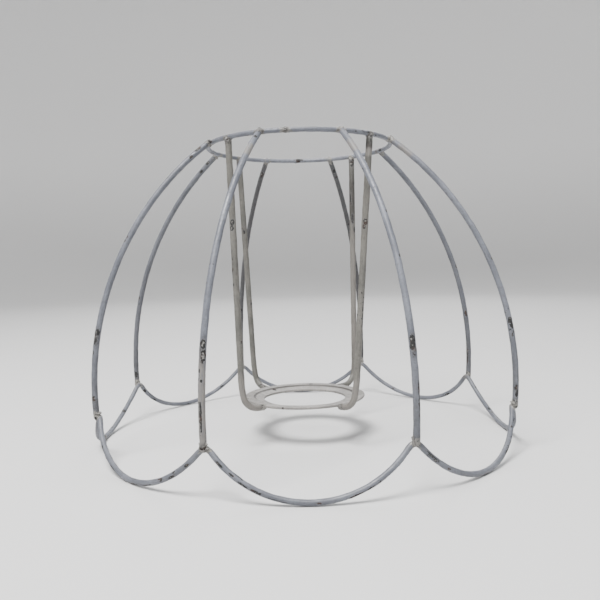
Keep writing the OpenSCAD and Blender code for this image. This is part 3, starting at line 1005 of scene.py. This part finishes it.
class Paint:
    """A procedural material, built from nodes in the object's own coordinates."""

    def __init__(self, name):
        self.material = bpy.data.materials.new(name)
        self.material.use_nodes = True
        self.tree = self.material.node_tree
        self.shader = self.tree.nodes["Principled BSDF"]
        self.where = self.node("TexCoord").outputs["Object"]

    def node(self, kind):
        return self.tree.nodes.new("ShaderNode" + kind)

    def fill(self, node, inputs):
        """Joins or sets a node's inputs, and gives its outputs."""
        for key, source in inputs.items():
            if isinstance(source, bpy.types.NodeSocket):
                self.tree.links.new(source, node.inputs[key])
            else:
                node.inputs[key].default_value = source
        return node.outputs

    def noise(self, size, detail=3.0, roughness=0.55, shift=0.0):
        """Noise from 0 to 1 with features of about a size in metres."""
        place = {"Vector": self.where, "Location": (shift, shift * 0.7, -shift)}
        place = self.fill(self.node("Mapping"), place)["Vector"]
        look = {"Vector": place, "Scale": 1 / size, "Detail": detail, "Roughness": roughness}
        return self.fill(self.node("TexNoise"), look)["Fac"]

    def streaks(self, size):
        """Noise from 0 to 1 that runs along the wires."""
        grain = self.value("grain", "Vector")
        look = {"Vector": grain, "Scale": 1 / size, "Detail": 3.0}
        return self.fill(self.node("TexNoise"), look)["Fac"]

    def value(self, name, output="Fac"):
        node = self.node("Attribute")
        node.attribute_name = name
        return node.outputs[output]

    def height(self):
        return self.fill(self.node("SeparateXYZ"), {"Vector": self.where})["Z"]

    def maths(self, operation, a, b):
        node = self.node("Math")
        node.operation = operation
        return self.fill(node, {0: a, 1: b})["Value"]

    def times(self, a, b):
        return self.maths("MULTIPLY", a, b)

    def plus(self, a, b):
        return self.maths("ADD", a, b)

    def less(self, a, b):
        return self.maths("SUBTRACT", a, b)

    def most(self, a, b):
        return self.maths("MAXIMUM", a, b)

    def step(self, value, low, high, bottom=0.0, top=1.0):
        """A soft step from bottom to top as the value goes from low to high."""
        node = self.node("MapRange")
        node.interpolation_type = "SMOOTHSTEP"
        ends = {"From Min": low, "From Max": high, "To Min": bottom, "To Max": top}
        return self.fill(node, {"Value": value, **ends})["Result"]

    def mix(self, share, a, b):
        node = self.node("Mix")
        node.data_type = "RGBA"
        a, b = [c if isinstance(c, bpy.types.NodeSocket) else (*c, 1.0) for c in (a, b)]
        return self.fill(node, {"Factor": share, "A": a, "B": b})["Result"]


def aged_paint(name, light, dark, grime, chipping, dirt, foot_darkening):
    """A wire's paint, with its tones, its dirt and its chips. The last three go from 0 to 1."""
    paint = Paint(name)
    tone = paint.mix(paint.step(paint.noise(TONE_SIZE, 4), 0.36, 0.64), dark, light)
    brushed = paint.streaks(STREAK_SIZE)
    tone = paint.mix(paint.step(brushed, 0.44, 0.30, 0.0, 0.50), tone, dark)
    bright = [min(1.0, c * STREAK_BRIGHT) for c in light]
    tone = paint.mix(paint.step(brushed, 0.56, 0.70, 0.0, 0.45), tone, bright)
    speckle = paint.step(paint.noise(SPECKLE_SIZE, 3, 0.7, 0.3), 0.46, 0.70, 0.0, 0.40)
    tone = paint.mix(speckle, tone, grime)
    patches = paint.noise(GRIME_SIZE, 5, 0.65, 0.9)
    patches = paint.step(patches, 0.72 - 0.22 * dirt, 0.80, 0.0, 0.60)
    # Darker towards the foot of each wire, in the grime colour
    if foot_darkening:
        height = paint.height()
        low = paint.step(height, *FOOT_DARKENING_FADES, foot_darkening, 0.0)
        low = paint.times(low, paint.step(height, *FOOT_DARKENING_STARTS, 0.25, 1.0))
        uneven = paint.step(paint.noise(FOOT_DARKENING_SIZE, 4, 0.6, 2.0), 0.3, 0.6, 0.4, 1.0)
        patches = paint.most(patches, paint.times(low, uneven))
    tone = paint.mix(patches, tone, grime)
    cream = paint.times(paint.value("cream"), paint.step(brushed, 0.35, 0.55, 0.4, 0.85))
    tone = paint.mix(cream, tone, CREAM)
    # Painted shade: the tone value darkens the paint towards a near-black brown
    tone = paint.mix(paint.value("tone"), PAINTED_SHADE, tone)
    edge = paint.noise(EDGE_SIZE, 4, 0.65, 1.7)
    # Stains, and painted shade in the weld creases and at the fitter's step, darken the paint
    stain = paint.plus(paint.value("stain"), paint.times(edge, 0.9))
    tone = paint.mix(paint.step(stain, 0.35, 1.1, 0.0, 0.72), tone, STAIN_AND_SHADE)

    # Paint gone: where a chip is marked, and in small chance chips, most of them where it is worn
    marked = paint.plus(paint.value("chip"), paint.times(edge, 1.7))
    cluster = paint.noise(CLUSTER_SIZE, 2, 0.5, 4.0)
    chance = paint.plus(paint.noise(CHANCE_SIZE, 4, 0.62, 6.0), paint.times(cluster, 0.5))
    worn = paint.times(paint.value("wear"), WEAR_GAIN)
    chance = paint.less(paint.plus(chance, worn), CHANCE_LEVEL - 0.06 * chipping)
    depth = paint.most(paint.less(marked, 0.85), paint.times(chance, 6.0))
    gone = paint.step(depth, 0.0, 0.08)
    rim = paint.less(paint.step(depth, -0.20, -0.04), gone)
    rust = paint.mix(paint.step(paint.noise(RUST_SIZE, 3, 0.6, 8.0), 0.52, 0.60), STEEL, RUST)
    fleck = paint.step(paint.noise(FLECK_SIZE, 2, 0.5, 9.0), 0.50, 0.55)
    fleck = paint.times(fleck, paint.step(depth, 0.46, 0.58))
    rust = paint.mix(paint.times(fleck, 0.85), rust, FLECK)
    colour = paint.mix(paint.times(rim, 0.40), tone, PAINT_EDGE)
    colour = paint.mix(gone, colour, rust)

    rough = paint.step(paint.noise(GLOSS_SIZE, 4, 0.6, 3.0), 0.3, 0.7, 0.36, 0.60)
    rough = paint.most(rough, paint.step(gone, 0.0, 1.0, 0.0, 0.74))
    rough = paint.most(rough, paint.step(patches, 0.0, 0.6, 0.0, 0.66))

    skin = paint.times(paint.noise(PORE_SIZE, 3, 0.6, 5.0), 0.5)
    skin = paint.plus(skin, paint.times(paint.noise(DIMPLE_SIZE, 3, 0.5, 7.0), 0.8))
    skin = paint.plus(skin, paint.times(brushed, 0.8))
    skin = paint.less(skin, paint.times(gone, 1.6))
    bump = {"Strength": BUMP_STRENGTH, "Distance": BUMP_DISTANCE, "Height": skin}
    normal = paint.fill(paint.node("Bump"), bump)["Normal"]
    looks = {"Base Color": colour, "Roughness": rough, "Normal": normal}
    paint.fill(paint.shader, looks)
    return paint.material


materials = {name: aged_paint(name, *look) for name, look in PAINTS.items()}
for name, slot in PIECE_SLOTS.items():
    bpy.data.objects[name].data.materials.append(materials[slot])

# -------- floor, light and camera

rows = [(STAGE_MIDDLE, 0.0), (STAGE_FLAT, 0.0)]
for i in range(1, STAGE_BEND_STEPS + 1):
    bend = i / STAGE_BEND_STEPS * math.pi / 2
    rows.append((STAGE_FLAT + STAGE_BEND * math.sin(bend), STAGE_BEND * (1 - math.cos(bend))))
rows.append((STAGE_FLAT + STAGE_BEND, STAGE_HEIGHT))
turn = np.linspace(0, 2 * math.pi, STAGE_SIDES, endpoint=False)
points = [(r * math.cos(a), r * math.sin(a), z + FLOOR_Z) for r, z in rows for a in turn]
points.append((0.0, 0.0, FLOOR_Z))
faces = [(len(points) - 1, j, (j + 1) % STAGE_SIDES) for j in range(STAGE_SIDES)]
faces += [face[::-1] for face in grid_faces(len(rows), STAGE_SIDES, False)]
floor = add("studio_floor", smooth_mesh("studio_floor", points, faces))
backdrop = Paint("studio_backdrop")
paper_and_light = backdrop.mix(backdrop.noise(FLOOR_CLOUDS, 3), *FLOOR_GREYS)
# Painted light on the wall: a lighter grey as it rises
paper_and_light = backdrop.mix(backdrop.step(backdrop.height(), 0.0, WALL_PAINTED_LIGHT_Z), paper_and_light, WALL_PAINTED_LIGHT)
backdrop.fill(backdrop.shader, {"Base Color": paper_and_light, "Roughness": FLOOR_ROUGHNESS})
floor.data.materials.append(backdrop.material)

world = bpy.data.worlds.new("studio_light")
world.use_nodes = True
world.node_tree.nodes["Background"].inputs["Color"].default_value = (1.0, 1.0, 1.0, 1.0)
world.node_tree.nodes["Background"].inputs["Strength"].default_value = WORLD_STRENGTH
bpy.context.scene.world = world

for name, place, size, power, colour in SOFT_LIGHTS:
    light = bpy.data.lights.new(name, "AREA")
    light.size = size
    light.energy = power
    light.color = colour
    lamp = add(name, light)
    lamp.location = place
    lamp.rotation_mode = "QUATERNION"
    lamp.rotation_quaternion = (Vector(LIGHT_AIM) - lamp.location).to_track_quat("-Z", "Y")

camera = add("camera", bpy.data.cameras.new("camera"))
camera.data.lens = CAMERA_LENS
camera.data.sensor_width = CAMERA_SENSOR
camera.data.clip_start = CAMERA_CLIP
camera.location = CAMERA_PLACE
camera.rotation_mode = "QUATERNION"
aim = (Vector(CAMERA_AIM) - camera.location).to_track_quat("-Z", "Y")
camera.rotation_quaternion = aim @ Quaternion((0, 0, 1), math.radians(CAMERA_ROLL))
bpy.context.scene.camera = camera
